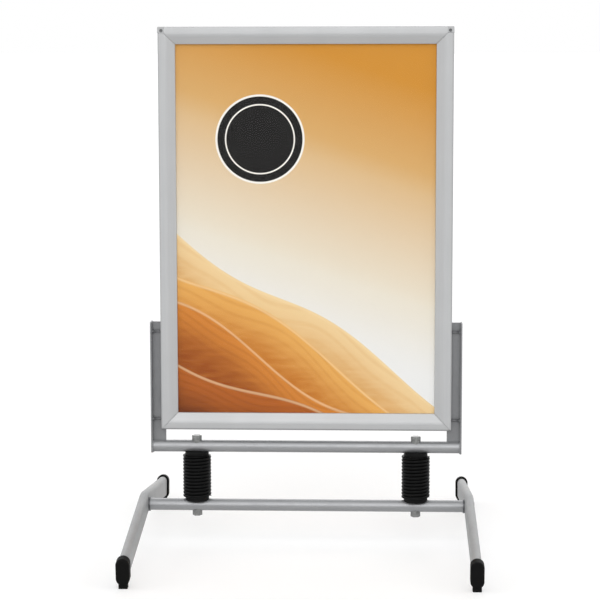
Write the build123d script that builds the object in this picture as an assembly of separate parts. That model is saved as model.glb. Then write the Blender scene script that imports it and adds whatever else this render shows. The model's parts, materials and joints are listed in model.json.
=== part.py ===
from build123d import *
import math
import os

# Double-sided pavement sign with snap-open poster frames on a spring base.
# Millimetres. +Z is up, +X is to the right of someone facing the front, -Y is the front.
# The origin is on the ground, under the middle of the base.

PAST = 1.0  # cutting shapes reach this far past what they cut

# Posters and sheets
POSTER_WIDTH = 594.0
POSTER_HEIGHT = 841.0
POSTER_THICKNESS = 0.4
CLEAR_SHEET_THICKNESS = 0.6
POSTER_OVERLAP = 10.0  # hidden under the rail's lip along each edge
CORE_THICKNESS = 3.2
CORE_END_GAP = 2.0  # from the core panel's top and bottom edges to the frame's edge

# Snap frame
RAIL_WIDTH = 38.0  # face of a rail, from the frame's edge to the lip
RAIL_DEPTH = 16.0  # from the core panel to the rail's face
RAIL_WALL = 1.4
BAND_WIDTH = 15.0  # flat outer band of the rail's face
BAND_EDGE_RADIUS = 2.5
LIP_HEIGHT = 7.6  # where the face's slope ends at the lip
LIP_NOSE_RADIUS = 1.2
LIP_GAP = 0.3  # between the closed lip and the clear sheet
MITRE_GAP = 0.3  # between a moving rail's end and the mitre plane
HOOK_RELIEF = 0.2  # the hook's tip is cut back this much past its widest swing
FOOT_RELIEF = 1.0  # the lip's foot is cut back this much at the rail's ends
LIP_NOSE = 2.2  # height of the lip's nose, above its foot
HINGE_INSET = 3.0  # hinge bead's centre from the frame's edge
HINGE_HEIGHT = 12.2  # hinge bead's centre from the core panel
BEAD_RADIUS = 1.5
HINGE_CLEARANCE = 0.07
HOOK_WALL = 1.4
HOOK_START_DEG = -58.0  # the hook wraps the bead from here, anticlockwise
HOOK_END_DEG = 134.0
STEM_WIDTH = 1.4
BASE_WEB = 1.4
CHAMBER_INSET = 1.0
CHAMBER_WIDTH = 11.4
CHAMBER_HEIGHT = 9.4
BASE_SETBACK = 0.5  # from the closed lip back to the fixed web's edge
RIB_WIDTH = 0.8
SHEET_RIB_GAP = 0.3

# Corner keys, corner caps and their screws
KEY_CLEARANCE = 0.1
KEY_ARM = 60.0
CAP_SIZE = 14.0
CAP_GAP = 0.2
CAP_ROUND = 2.5
CAP_BEVEL = 0.5
CAP_SCREW_INSET = 8.5
CAP_SCREW_RADIUS = 2.0
CAP_HEAD_RADIUS = 3.6
CAP_HEAD_HEIGHT = 2.2
CAP_HEAD_SINK = 0.9  # the head sits this far below the cap's face

# Leaf springs that snap the rails shut
LEAF_THICKNESS = 0.6
LEAF_WIDTH = 24.0
LEAF_RISE = 6.0
LEAF_SEAT = 0.1
LEAF_SIDE_GAP = 0.6  # to the chamber and to the sheet's rib
LEAF_PRESS_GAP = 0.3  # between the leaf's crown and the closed rail's press rib
PRESS_RIB_WIDTH = 1.6
LEAVES_PER_SIDE = 4
LEAVES_PER_END = 3

# Rivets that hold the two frames on the core panel
RIVET_INSET = 19.6
RIVET_RADIUS = 2.0
RIVET_HEAD_RADIUS = 3.5
RIVET_HEAD_HEIGHT = 1.1
RIVET_CLEARANCE = 0.05

# Uprights
UPRIGHT_SIDE_GAP = 22.7  # from the frame's edge to the upright's outer face
UPRIGHT_PLATE = 3.2
UPRIGHT_DEPTH = 34.0
UPRIGHT_FIN = 3.0
FIN_OVERLAP = 10.0  # how far the fin reaches between the two frames
CORE_FIN_GAP = 0.6
UPRIGHT_RISE = 243.0  # above the frame's bottom edge
UPRIGHT_CORNER_RADIUS = 4.0
UPRIGHT_SCREW_RADIUS = 2.5
UPRIGHT_SCREW_CLEARANCE = 0.05
UPRIGHT_SCREW_HEAD_RADIUS = 4.8
UPRIGHT_SCREW_HEAD_HEIGHT = 2.4
UPRIGHT_SCREW_LOW = 23.0  # above the frame's bottom edge
UPRIGHT_SCREW_TOP_INSET = 21.0  # below the upright's top
UPRIGHT_NUT_FLATS = 8.0
UPRIGHT_NUT_HEIGHT = 4.0

# Crossbars
BAR_RADIUS = 13.45
BAR_WALL = 2.0
LOWER_BAR_HEIGHT = 86.4
FRAME_BAR_GAP = 26.0  # from the upper crossbar's top to the frame's bottom edge
WELD_GAP = 0.1

# Springs and their saddle plugs
SPRING_INSET = 79.0  # from the frame's edge to a spring's axis
SPRING_WIRE_RADIUS = 3.7
SPRING_MEAN_RADIUS = 28.05
SPRING_PITCH = 7.6
SPRING_TURNS = 13.0
SPRING_GROUND_TURNS = 0.5  # taken off the two ends together, so they seat flat
SPRING_SIDES = 8
SPRING_STEPS = 20
SPRING_SEAT_GAP = 0.2
PLUG_CROWN = 6.2  # from the spring's seat to the nearest line of the tube
PLUG_RADIUS = 26.5
PLUG_CRADLE = 3.2  # how far the plug rises round the tube
PLUG_ROUND = 3.0
PLUG_STEM = 22.0
PLUG_STEM_GAP = 0.3
PLUG_STEM_TAPER = 2.0
TUBE_GAP = 0.1
PLUG_BOLT_RADIUS = 6.0
PLUG_BOLT_CLEARANCE = 0.2
PLUG_BOLT_HEAD_FLATS = 19.0
PLUG_BOLT_HEAD_HEIGHT = 7.6
HEAD_BEVEL_TOP = 0.82  # bevel's radius at the head's top, as a share of the corner radius
HEAD_BEVEL_SEAT = 1.25  # and at the head's seat
PLUG_NUT_HEIGHT = 10.0
NUT_CLEARANCE = 0.05
POCKET_CLEARANCE = 0.15
SADDLE_WASHER_RADIUS = 11.0
SADDLE_WASHER_CROWN = 3.2
SADDLE_WASHER_ROUND = 1.0
BOLT_END_PAST_NUT = 1.0

# Legs
LEG_SPACING = 732.0
LEG_WIDTH = 20.0
LEG_HEIGHT = 50.0
LEG_WALL = 1.8
LEG_LENGTH = 783.0  # front to back, between the middles of the tube's cut ends
LEG_APEX_HEIGHT = 90.8
LEG_END_HEIGHT = 36.5
LEG_BEND_RADIUS = 90.0
LEG_BOLT_RADIUS = 5.0
LEG_BOLT_HEAD_RADIUS = 9.5
LEG_BOLT_HEAD_HEIGHT = 5.0
LEG_BOLT_HEAD_ROUND = 3.5
LEG_BOLT_SOCKET_FLATS = 6.0
LEG_BOLT_SOCKET_DEPTH = 3.0
LEG_BOLT_CLEARANCE = 0.05
BAR_PLUG_FLANGE = 4.0
BAR_PLUG_FLANGE_RADIUS = 15.6
BAR_PLUG_DEPTH = 26.0
BAR_PLUG_GAP = 0.1

# Feet
FOOT_WALL = 4.4
FOOT_FIT_GAP = 0.1
FOOT_SLEEVE = 18.0
FOOT_END_WALL = 4.5
FOOT_ROUND = 3.5
TREAD_WIDTH = 19.0
TREAD_LENGTH = 20.0
TREAD_SETBACK = 2.0  # from the foot's end face back to the tread
TREAD_ROUND = 3.0
TREAD_GROOVE = 2.4
TREAD_GROOVE_DEPTH = 1.8
TREAD_GROOVES = 2

# Sizes that follow from the ones above
FRAME_WIDTH = POSTER_WIDTH + 2 * (RAIL_WIDTH - POSTER_OVERLAP)
FRAME_HEIGHT = POSTER_HEIGHT + 2 * (RAIL_WIDTH - POSTER_OVERLAP)
HOOK_INNER = BEAD_RADIUS + HINGE_CLEARANCE
HOOK_OUTER = HOOK_INNER + HOOK_WALL
FACE_START = CORE_THICKNESS / 2
SHEET_TOP = BASE_WEB + POSTER_THICKNESS + CLEAR_SHEET_THICKNESS
CHAMBER_INNER_EDGE = CHAMBER_INSET + CHAMBER_WIDTH
SHEET_RIB_INNER = RAIL_WIDTH - POSTER_OVERLAP - SHEET_RIB_GAP
SHEET_RIB_OUTER = SHEET_RIB_INNER - RIB_WIDTH
LEAF_INSET = (CHAMBER_INNER_EDGE + SHEET_RIB_OUTER) / 2
LEAF_SPAN = SHEET_RIB_OUTER - CHAMBER_INNER_EDGE - 2 * LEAF_SIDE_GAP
LEAF_CROWN = BASE_WEB + LEAF_SEAT + LEAF_RISE
SPRING_SPACING = FRAME_WIDTH - 2 * SPRING_INSET
SPRING_LENGTH = SPRING_PITCH * (SPRING_TURNS - SPRING_GROUND_TURNS)
BAR_GAP = SPRING_LENGTH + 2 * (SPRING_SEAT_GAP + PLUG_CROWN)
UPPER_BAR_HEIGHT = LOWER_BAR_HEIGHT + 2 * BAR_RADIUS + BAR_GAP
SPRING_MIDDLE = (LOWER_BAR_HEIGHT + UPPER_BAR_HEIGHT) / 2
FRAME_BOTTOM = UPPER_BAR_HEIGHT + BAR_RADIUS + FRAME_BAR_GAP
FRAME_TOP = FRAME_BOTTOM + FRAME_HEIGHT
FRAME_MIDDLE = (FRAME_BOTTOM + FRAME_TOP) / 2
UPRIGHT_OUTER = FRAME_WIDTH / 2 + UPRIGHT_SIDE_GAP
UPRIGHT_INNER = UPRIGHT_OUTER - UPRIGHT_PLATE
UPRIGHT_TOP = FRAME_BOTTOM + UPRIGHT_RISE
FIN_END = FRAME_WIDTH / 2 - FIN_OVERLAP
CORE_WIDTH = 2 * (FIN_END - CORE_FIN_GAP)
UPRIGHT_SCREW_Y = FACE_START + (BASE_WEB + CHAMBER_HEIGHT - RAIL_WALL) / 2
LEG_INNER = LEG_SPACING / 2 - LEG_WIDTH / 2
LEG_OUTER = LEG_SPACING / 2 + LEG_WIDTH / 2
LOWER_BAR_LENGTH = 2 * (LEG_INNER - BAR_PLUG_FLANGE)
HEX_CORNER = 2 / math.sqrt(3)

FACES = {"front": -1, "back": 1}
SIDES = {"left": -1, "right": 1}
NODES = {}


def keep(name, *solids):
    """Stores one node, made of one or more separate solids."""
    NODES[name] = solids[0] if len(solids) == 1 else Compound(children=list(solids))


def slab(x0, x1, y0, y1):
    """A rectangle given by its edges."""
    return Pos((x0 + x1) / 2, (y0 + y1) / 2) * Rectangle(x1 - x0, y1 - y0)


def block(x0, x1, y0, y1, z0, z1):
    """A box given by its faces."""
    centre = Pos((x0 + x1) / 2, (y0 + y1) / 2, (z0 + z1) / 2)
    return centre * Box(x1 - x0, y1 - y0, z1 - z0)


def rod(start, direction, radius, length):
    """A cylinder that starts at a point and runs along a direction."""
    return extrude(Plane(origin=start, z_dir=direction) * Circle(radius), amount=length)


def hexagon(flats):
    return RegularPolygon(flats / 2 * HEX_CORNER, 6)


def round_corner(face, x, y, radius):
    """Rounds the corner of a flat shape that lies nearest to a point."""
    corner = min(face.vertices(), key=lambda v: math.hypot(v.X - x, v.Y - y))
    return fillet(corner, radius)


# Snap frame

# A rail's section is drawn with x running inwards from the frame's edge
# and y running outwards from the core panel.


def base_section():
    """Fixed part of a rail: web, hollow chamber, hinge bead and ribs."""
    inner = CHAMBER_INNER_EDGE - RAIL_WALL
    section = slab(0, RAIL_WIDTH - BASE_SETBACK, 0, BASE_WEB)
    section += slab(CHAMBER_INSET, CHAMBER_INNER_EDGE, 0, CHAMBER_HEIGHT)
    section -= slab(CHAMBER_INSET + RAIL_WALL, inner, BASE_WEB, CHAMBER_HEIGHT - RAIL_WALL)
    stem = STEM_WIDTH / 2
    section += slab(HINGE_INSET - stem, HINGE_INSET + stem, CHAMBER_HEIGHT - RAIL_WALL, HINGE_HEIGHT)
    section += Pos(HINGE_INSET, HINGE_HEIGHT) * Circle(BEAD_RADIUS)
    section += slab(SHEET_RIB_OUTER, SHEET_RIB_INNER, 0, SHEET_TOP)
    return section


def rail_section():
    """Moving part of a rail: a hook round the bead, a band, a slope, a lip and a press rib."""
    slope = (RAIL_DEPTH - LIP_HEIGHT) / (RAIL_WIDTH - BAND_WIDTH)
    under = RAIL_WALL * math.hypot(1, slope)
    turn_in = RAIL_WALL * math.tan(math.atan(slope) / 2)
    lip_inside = RAIL_WIDTH - RAIL_WALL
    foot = SHEET_TOP + LIP_GAP
    outline = Polygon(
        (HINGE_INSET, HINGE_HEIGHT + HOOK_OUTER),
        (BAND_WIDTH, RAIL_DEPTH),
        (RAIL_WIDTH, LIP_HEIGHT),
        (RAIL_WIDTH, foot),
        (lip_inside, foot),
        (lip_inside, LIP_HEIGHT + slope * RAIL_WALL - under),
        (BAND_WIDTH - turn_in, RAIL_DEPTH - RAIL_WALL),
        (HINGE_INSET, HINGE_HEIGHT + HOOK_INNER),
        align=None,
    )
    outline = round_corner(outline, BAND_WIDTH, RAIL_DEPTH, BAND_EDGE_RADIUS)
    outline = round_corner(outline, RAIL_WIDTH, LIP_HEIGHT, LIP_NOSE_RADIUS)
    rib_top = RAIL_DEPTH - slope * (LEAF_INSET + PRESS_RIB_WIDTH / 2 - BAND_WIDTH) - under / 2
    rib_side = LEAF_INSET - PRESS_RIB_WIDTH / 2
    outline += slab(rib_side, rib_side + PRESS_RIB_WIDTH, LEAF_CROWN + LEAF_PRESS_GAP, rib_top)
    reach = 3 * HOOK_OUTER
    opening = [(0, 0)]
    steps = 4
    for k in range(steps + 1):
        turn = HOOK_END_DEG + (HOOK_START_DEG + 360 - HOOK_END_DEG) * k / steps
        opening.append((reach * math.cos(math.radians(turn)), reach * math.sin(math.radians(turn))))
    hook = Circle(HOOK_OUTER) - Circle(HOOK_INNER) - Polygon(*opening, align=None)
    return outline + Pos(HINGE_INSET, HINGE_HEIGHT) * hook


def mitred(section, length, gap=0.0):
    """Extrudes a rail's section and cuts both ends to 45 degrees."""
    bar = extrude(section, amount=length / 2, both=True)
    end = length / 2 - gap * math.sqrt(2)
    near, far = -RAIL_DEPTH, 2 * RAIL_WIDTH
    corners = ((near, end - near), (far, end - far), (far, far - end), (near, near - end))
    wedge = Plane.XZ * Polygon(*corners, align=None)
    return bar & extrude(wedge, amount=2 * RAIL_DEPTH, both=True)


def cap_space(length, end):
    """The room that a corner cap takes at one end of a rail."""
    size = CAP_SIZE + CAP_GAP
    z = sorted((end * (length / 2 - size), end * (length / 2 + PAST)))
    return block(-PAST, size, CHAMBER_HEIGHT, 2 * RAIL_DEPTH, *z)


def swing_space(length, end):
    """Cuts at one end of a moving rail that clear the next rail as either one opens."""
    past = end * (length / 2 + PAST)
    tip = HINGE_INSET + HOOK_OUTER + HOOK_RELIEF
    tip_z = sorted((end * (length / 2 - tip - MITRE_GAP), past))
    foot_z = sorted((end * (length / 2 - RAIL_WIDTH - FOOT_RELIEF), past))
    under_hook = block(-PAST, tip, 0, HINGE_HEIGHT, *tip_z)
    lip = RAIL_WIDTH - RAIL_WALL - PAST
    return [under_hook, block(lip, RAIL_WIDTH + PAST, 0, LIP_HEIGHT - LIP_NOSE, *foot_z)]


def rail_frames():
    """For each rail: its name, its face, its length, where its section goes and which ends have caps."""
    for face, out in FACES.items():
        for edge, inward, length in (
            ("top", (0, 0, -1), FRAME_WIDTH),
            ("bottom", (0, 0, 1), FRAME_WIDTH),
            ("left", (1, 0, 0), FRAME_HEIGHT),
            ("right", (-1, 0, 0), FRAME_HEIGHT),
        ):
            inward = Vector(*inward)
            normal = Vector(0, out, 0)
            middle = Vector(0, out * FACE_START, FRAME_MIDDLE)
            half = FRAME_HEIGHT / 2 if inward.Z else FRAME_WIDTH / 2
            place = Plane(origin=middle - inward * half, x_dir=inward, z_dir=inward.cross(normal))
            if edge == "top":
                caps = (-1, 1)
            elif edge == "bottom":
                caps = ()
            else:
                caps = (round(place.z_dir.Z),)
            yield face, edge, length, place.location, caps


def upright_screw_places():
    """Centre height of the upright's screws."""
    return (FRAME_BOTTOM + UPRIGHT_SCREW_LOW, UPRIGHT_TOP - UPRIGHT_SCREW_TOP_INSET)


def cap_screw_places():
    """Axes of the corner cap screws, as x and z."""
    x = FRAME_WIDTH / 2 - CAP_SCREW_INSET
    return [(side * x, FRAME_TOP - CAP_SCREW_INSET) for side in SIDES.values()]


def rivet_places():
    """Axes of the rivets, as x and z."""
    x = FRAME_WIDTH / 2 - RIVET_INSET
    z = FRAME_HEIGHT / 2 - RIVET_INSET
    side_rows = [FRAME_MIDDLE + k * FRAME_HEIGHT / 4 for k in (-1, 1)]
    places = [(side * x, row) for side in (-1, 1) for row in side_rows]
    places += [(side * FRAME_WIDTH / 6, FRAME_MIDDLE + up * z) for side in (-1, 1) for up in (-1, 1)]
    return places


def through_holes(places, radius):
    """Holes from front to back at each place."""
    return [rod((x, -2 * RAIL_DEPTH, z), (0, 1, 0), radius, 4 * RAIL_DEPTH) for x, z in places]


def upright_screw_holes(radius):
    """Holes from side to side through the rails' chambers, front and back."""
    length = 2 * (UPRIGHT_OUTER + PAST)
    return [
        rod((-length / 2, out * UPRIGHT_SCREW_Y, z), (1, 0, 0), radius, length)
        for out in FACES.values()
        for z in upright_screw_places()
    ]


def make_frame_rails():
    base = base_section()
    cover = rail_section()
    screws = upright_screw_holes(UPRIGHT_SCREW_RADIUS + UPRIGHT_SCREW_CLEARANCE)
    caps = through_holes(cap_screw_places(), CAP_SCREW_RADIUS + RIVET_CLEARANCE)
    rivets = through_holes(rivet_places(), RIVET_RADIUS + RIVET_CLEARANCE)
    for face, edge, length, place, cap_ends in rail_frames():
        fixed = mitred(base, length)
        moving = mitred(cover, length, MITRE_GAP)
        for cut in swing_space(length, -1) + swing_space(length, 1):
            moving -= cut
        for end in cap_ends:
            fixed -= cap_space(length, end)
            moving -= cap_space(length, end)
        fixed = place * fixed
        for hole in rivets + (caps if cap_ends else []):
            fixed -= hole
        if edge in SIDES:
            for hole in screws:
                fixed -= hole
        keep(f"{face}_base_{edge}", fixed)
        keep(f"{face}_snap_rail_{edge}", place * moving)


def make_leaf_springs():
    """Curved strips between a rail's two parts, grouped for each face of the sign."""
    half = LEAF_SPAN / 2
    crown = LEAF_RISE - LEAF_THICKNESS / 2
    radius = (half**2 + crown**2) / (2 * crown)
    arch = Circle(radius + LEAF_THICKNESS / 2) - Circle(radius - LEAF_THICKNESS / 2)
    arch = (Pos(0, crown - radius) * arch) & slab(-LEAF_SPAN, LEAF_SPAN, 0, LEAF_RISE + PAST)
    leaf = Pos(LEAF_INSET, BASE_WEB + LEAF_SEAT) * extrude(arch, amount=LEAF_WIDTH / 2, both=True)
    groups = {face: [] for face in FACES}
    for face, edge, length, place, _ in rail_frames():
        count = LEAVES_PER_SIDE if edge in SIDES else LEAVES_PER_END
        for k in range(count):
            along = (k - (count - 1) / 2) * length / (count + 1)
            groups[face].append(place * Pos(0, 0, along) * leaf)
    for face, leaves in groups.items():
        keep(f"{face}_rail_springs", *leaves)


def make_sheets():
    bottom = FRAME_BOTTOM + CORE_END_GAP
    core = block(-CORE_WIDTH / 2, CORE_WIDTH / 2, -FACE_START, FACE_START, bottom, FRAME_TOP - CORE_END_GAP)
    for hole in through_holes(rivet_places(), RIVET_RADIUS + RIVET_CLEARANCE):
        core -= hole
    keep("core_panel", core)
    x = POSTER_WIDTH / 2
    z = POSTER_HEIGHT / 2
    for face, out in FACES.items():
        start = FACE_START + BASE_WEB
        middle = start + POSTER_THICKNESS
        end = middle + CLEAR_SHEET_THICKNESS
        for name, y0, y1 in ((f"{face}_poster", start, middle), (f"{face}_clear_sheet", middle, end)):
            y = sorted((out * y0, out * y1))
            keep(name, block(-x, x, *y, FRAME_MIDDLE - z, FRAME_MIDDLE + z))


def make_corner_keys():
    """L-shaped keys that lie in the chambers and join the mitred corners."""
    inner = CHAMBER_INSET + RAIL_WALL + KEY_CLEARANCE
    width = CHAMBER_WIDTH - 2 * (RAIL_WALL + KEY_CLEARANCE)
    y0 = FACE_START + BASE_WEB + KEY_CLEARANCE
    y1 = FACE_START + CHAMBER_HEIGHT - RAIL_WALL - KEY_CLEARANCE
    holes = through_holes(cap_screw_places(), CAP_SCREW_RADIUS + RIVET_CLEARANCE)
    holes += upright_screw_holes(UPRIGHT_SCREW_RADIUS + UPRIGHT_SCREW_CLEARANCE)
    for face, out in FACES.items():
        keys = []
        for side in (-1, 1):
            for up in (-1, 1):
                arm = slab(inner, inner + KEY_ARM, inner, inner + width)
                arm += slab(inner, inner + width, inner, inner + KEY_ARM)
                key = extrude(Plane.XZ * arm, amount=-(y1 - y0))
                key = Pos(-FRAME_WIDTH / 2, y0, -FRAME_HEIGHT / 2) * key
                if side > 0:
                    key = mirror(key, Plane.YZ)
                if up > 0:
                    key = mirror(key, Plane.XY)
                if out < 0:
                    key = mirror(key, Plane.XZ)
                key = Pos(0, 0, FRAME_MIDDLE) * key
                for hole in holes:
                    key -= hole
                keys.append(key)
        keep(f"{face}_corner_keys", *keys)


def make_corner_caps():
    """Square caps on the two top corners of each face, each with a sunk screw."""
    y0 = FACE_START + CHAMBER_HEIGHT
    y1 = FACE_START + RAIL_DEPTH
    head_y = y1 - CAP_HEAD_SINK
    screws = []
    for face, out in FACES.items():
        caps = []
        for side, (x, z) in zip(SIDES.values(), cap_screw_places()):
            xs = sorted((side * FRAME_WIDTH / 2, side * (FRAME_WIDTH / 2 - CAP_SIZE)))
            ys = sorted((out * y0, out * y1))
            cap = block(*xs, *ys, FRAME_TOP - CAP_SIZE, FRAME_TOP)
            outer = cap.edges().filter_by(Axis.Y).group_by(Axis.Z)[-1].sort_by(Axis.X)
            cap = fillet(outer[0] if side < 0 else outer[-1], CAP_ROUND)
            face_edges = cap.faces().sort_by(Axis.Y)[-1 if out > 0 else 0].edges()
            cap = chamfer(face_edges, CAP_BEVEL)
            deep = head_y - CAP_HEAD_HEIGHT
            cap -= rod((x, out * deep, z), (0, out, 0), CAP_HEAD_RADIUS + RIVET_CLEARANCE, RAIL_DEPTH)
            cap -= rod((x, 0, z), (0, out, 0), CAP_SCREW_RADIUS + RIVET_CLEARANCE, 2 * RAIL_DEPTH)
            caps.append(cap)
            head = rod((x, out * deep, z), (0, out, 0), CAP_HEAD_RADIUS, CAP_HEAD_HEIGHT)
            shank_start = FACE_START + BASE_WEB + KEY_CLEARANCE
            screw = head + rod((x, out * shank_start, z), (0, out, 0), CAP_SCREW_RADIUS, deep - shank_start)
            screws.append(screw)
        keep(f"{face}_corner_caps", *caps)
    keep("corner_cap_screws", *screws)


def make_rivets():
    half = FACE_START + BASE_WEB
    rivets = []
    for x, z in rivet_places():
        rivet = rod((x, -half, z), (0, 1, 0), RIVET_RADIUS, 2 * half)
        for out in FACES.values():
            rivet += rod((x, out * half, z), (0, out, 0), RIVET_HEAD_RADIUS, RIVET_HEAD_HEIGHT)
        rivets.append(rivet)
    keep("frame_rivets", *rivets)


# Uprights and crossbars


def make_uprights():
    """T-shaped uprights: a plate beside the frame and a fin between its two faces."""
    z0 = UPPER_BAR_HEIGHT - BAR_RADIUS
    half = UPRIGHT_DEPTH / 2
    screws = []
    nuts = []
    for name, side in SIDES.items():
        xs = sorted((side * UPRIGHT_INNER, side * UPRIGHT_OUTER))
        plate = block(*xs, -half, half, z0, UPRIGHT_TOP)
        plate = fillet(plate.edges().filter_by(Axis.X), UPRIGHT_CORNER_RADIUS)
        xs = sorted((side * FIN_END, side * (UPRIGHT_INNER + UPRIGHT_PLATE / 2)))
        fin = block(*xs, -UPRIGHT_FIN / 2, UPRIGHT_FIN / 2, UPPER_BAR_HEIGHT, UPRIGHT_TOP)
        tip = fin.edges().filter_by(Axis.Y).group_by(Axis.Z)[-1].sort_by(Axis.X)
        fin = fillet(tip[0] if side > 0 else tip[-1], UPRIGHT_CORNER_RADIUS)
        inside = side * UPRIGHT_INNER
        fin -= rod((inside, 0, UPPER_BAR_HEIGHT), (-side, 0, 0), BAR_RADIUS + WELD_GAP, UPRIGHT_OUTER)
        upright = plate + fin
        for out in FACES.values():
            for z in upright_screw_places():
                start = (side * UPRIGHT_OUTER, out * UPRIGHT_SCREW_Y, z)
                inward = (-side, 0, 0)
                plane = Plane(origin=start, z_dir=inward)
                shank = UPRIGHT_SCREW_RADIUS
                hole = shank + UPRIGHT_SCREW_CLEARANCE
                top = UPRIGHT_SCREW_HEAD_RADIUS
                depth = UPRIGHT_SCREW_HEAD_HEIGHT
                length = UPRIGHT_SIDE_GAP + CHAMBER_INNER_EDGE
                upright -= rod(start, inward, hole, UPRIGHT_PLATE + PAST)
                upright -= plane * Pos(0, 0, depth / 2) * Cone(top + UPRIGHT_SCREW_CLEARANCE, hole, depth)
                screw = rod(start, inward, shank, length)
                screw += plane * Pos(0, 0, depth / 2) * Cone(top, shank, depth)
                screws.append(screw)
                seat = Plane(origin=(inside, start[1], z), x_dir=(0, 0, 1), z_dir=inward)
                nut = extrude(seat * (hexagon(UPRIGHT_NUT_FLATS) - Circle(hole)), amount=UPRIGHT_NUT_HEIGHT)
                nuts.append(nut)
        keep(f"{name}_upright", upright)
    keep("upright_screws", *screws)
    keep("upright_nuts", *nuts)


def crossbar(length, height):
    """A round tube across the sign with upright holes for the spring bolts."""
    start = (-length / 2, 0, height)
    bar = rod(start, (1, 0, 0), BAR_RADIUS, length)
    bar -= rod(start, (1, 0, 0), BAR_RADIUS - BAR_WALL, length)
    for side in SIDES.values():
        below = (side * SPRING_SPACING / 2, 0, height - 2 * BAR_RADIUS)
        bar -= rod(below, (0, 0, 1), PLUG_BOLT_RADIUS + PLUG_BOLT_CLEARANCE, 4 * BAR_RADIUS)
    return bar


def make_crossbars():
    keep("upper_crossbar", crossbar(2 * UPRIGHT_INNER, UPPER_BAR_HEIGHT))
    keep("lower_crossbar", crossbar(LOWER_BAR_LENGTH, LOWER_BAR_HEIGHT))


# Springs and plugs


def make_springs():
    """Close-wound springs of round wire, drawn with flats, with ends ground level."""
    count = round(SPRING_TURNS * SPRING_STEPS)
    points = []
    for k in range(count + 1):
        turn = 2 * math.pi * k / SPRING_STEPS
        rise = SPRING_PITCH * (k / SPRING_STEPS - SPRING_TURNS / 2)
        points.append((SPRING_MEAN_RADIUS * math.cos(turn), SPRING_MEAN_RADIUS * math.sin(turn), rise))
    path = Polyline(*points)
    wire = RegularPolygon(SPRING_WIRE_RADIUS, SPRING_SIDES, rotation=180 / SPRING_SIDES)
    start = Plane(origin=path @ 0, x_dir=(1, 0, 0), z_dir=path % 0)
    coil = sweep(start * wire, path=path, transition=Transition.RIGHT)
    reach = 2 * SPRING_MEAN_RADIUS
    coil &= Box(2 * reach, 2 * reach, SPRING_LENGTH)
    for name, side in SIDES.items():
        keep(f"{name}_spring", Pos(side * SPRING_SPACING / 2, 0, SPRING_MIDDLE) * coil)


def saddle_plug():
    """Plug for the lower end of a spring, seated on a tube at the origin's height."""
    seat = BAR_RADIUS + PLUG_CROWN
    coil_inside = SPRING_MEAN_RADIUS * math.cos(math.pi / SPRING_STEPS) - SPRING_WIRE_RADIUS
    stem_radius = coil_inside - PLUG_STEM_GAP
    bottom = BAR_RADIUS - PLUG_CRADLE
    head = Pos(0, 0, bottom) * extrude(Circle(PLUG_RADIUS), amount=seat - bottom)
    head = fillet(head.edges().sort_by(Axis.Z)[0], PLUG_ROUND)
    stem = Pos(0, 0, seat) * extrude(Circle(stem_radius), amount=PLUG_STEM)
    stem = chamfer(stem.edges().sort_by(Axis.Z)[-1], PLUG_STEM_TAPER)
    plug = head + stem
    reach = 2 * PLUG_RADIUS
    plug -= rod((-reach, 0, 0), (1, 0, 0), BAR_RADIUS + TUBE_GAP, 2 * reach)
    plug -= rod((0, 0, 0), (0, 0, 1), PLUG_BOLT_RADIUS + PLUG_BOLT_CLEARANCE, 2 * reach)
    pocket = hexagon(PLUG_BOLT_HEAD_FLATS + 2 * POCKET_CLEARANCE)
    return plug - Pos(0, 0, seat + PLUG_STEM - PLUG_NUT_HEIGHT) * extrude(pocket, amount=PLUG_STEM)


def plug_fastening():
    """Bolt, captive nut and saddle washer that hold the plug of saddle_plug."""
    stem_end = BAR_RADIUS + PLUG_CROWN + PLUG_STEM
    hole = PLUG_BOLT_RADIUS + NUT_CLEARANCE
    nut = extrude(hexagon(PLUG_BOLT_HEAD_FLATS) - Circle(hole), amount=PLUG_NUT_HEIGHT)
    nut = Pos(0, 0, stem_end - PLUG_NUT_HEIGHT) * nut
    outside = -BAR_RADIUS - SADDLE_WASHER_CROWN
    washer = Pos(0, 0, outside) * extrude(Circle(SADDLE_WASHER_RADIUS), amount=BAR_RADIUS)
    washer = fillet(washer.edges().sort_by(Axis.Z)[0], SADDLE_WASHER_ROUND)
    washer -= rod((-2 * BAR_RADIUS, 0, 0), (1, 0, 0), BAR_RADIUS + TUBE_GAP, 4 * BAR_RADIUS)
    washer -= Pos(0, 0, outside) * extrude(Circle(PLUG_BOLT_RADIUS + PLUG_BOLT_CLEARANCE), amount=BAR_RADIUS)
    head = Pos(0, 0, outside) * extrude(hexagon(PLUG_BOLT_HEAD_FLATS), amount=-PLUG_BOLT_HEAD_HEIGHT)
    crown = PLUG_BOLT_HEAD_FLATS / 2 * HEX_CORNER
    cone = Cone(crown * HEAD_BEVEL_TOP, crown * HEAD_BEVEL_SEAT, PLUG_BOLT_HEAD_HEIGHT)
    cone = Pos(0, 0, outside - PLUG_BOLT_HEAD_HEIGHT / 2) * cone
    shank_end = stem_end + BOLT_END_PAST_NUT
    bolt = (head & cone) + rod((0, 0, outside), (0, 0, 1), PLUG_BOLT_RADIUS, shank_end - outside)
    return bolt, nut, washer


def make_plugs():
    plug = saddle_plug()
    bolt, nut, washer = plug_fastening()
    for level, height, flip in (("lower", LOWER_BAR_HEIGHT, 0), ("upper", UPPER_BAR_HEIGHT, 180)):
        groups = {"bolts": [], "nuts": [], "saddle_washers": []}
        for name, side in SIDES.items():
            place = Pos(side * SPRING_SPACING / 2, 0, height) * Rot(flip, 0, 0)
            keep(f"{level}_plug_{name}", place * plug)
            groups["bolts"].append(place * bolt)
            groups["nuts"].append(place * nut)
            groups["saddle_washers"].append(place * washer)
        for kind, solids in groups.items():
            keep(f"{level}_plug_{kind}", *solids)


# Legs and feet


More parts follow.
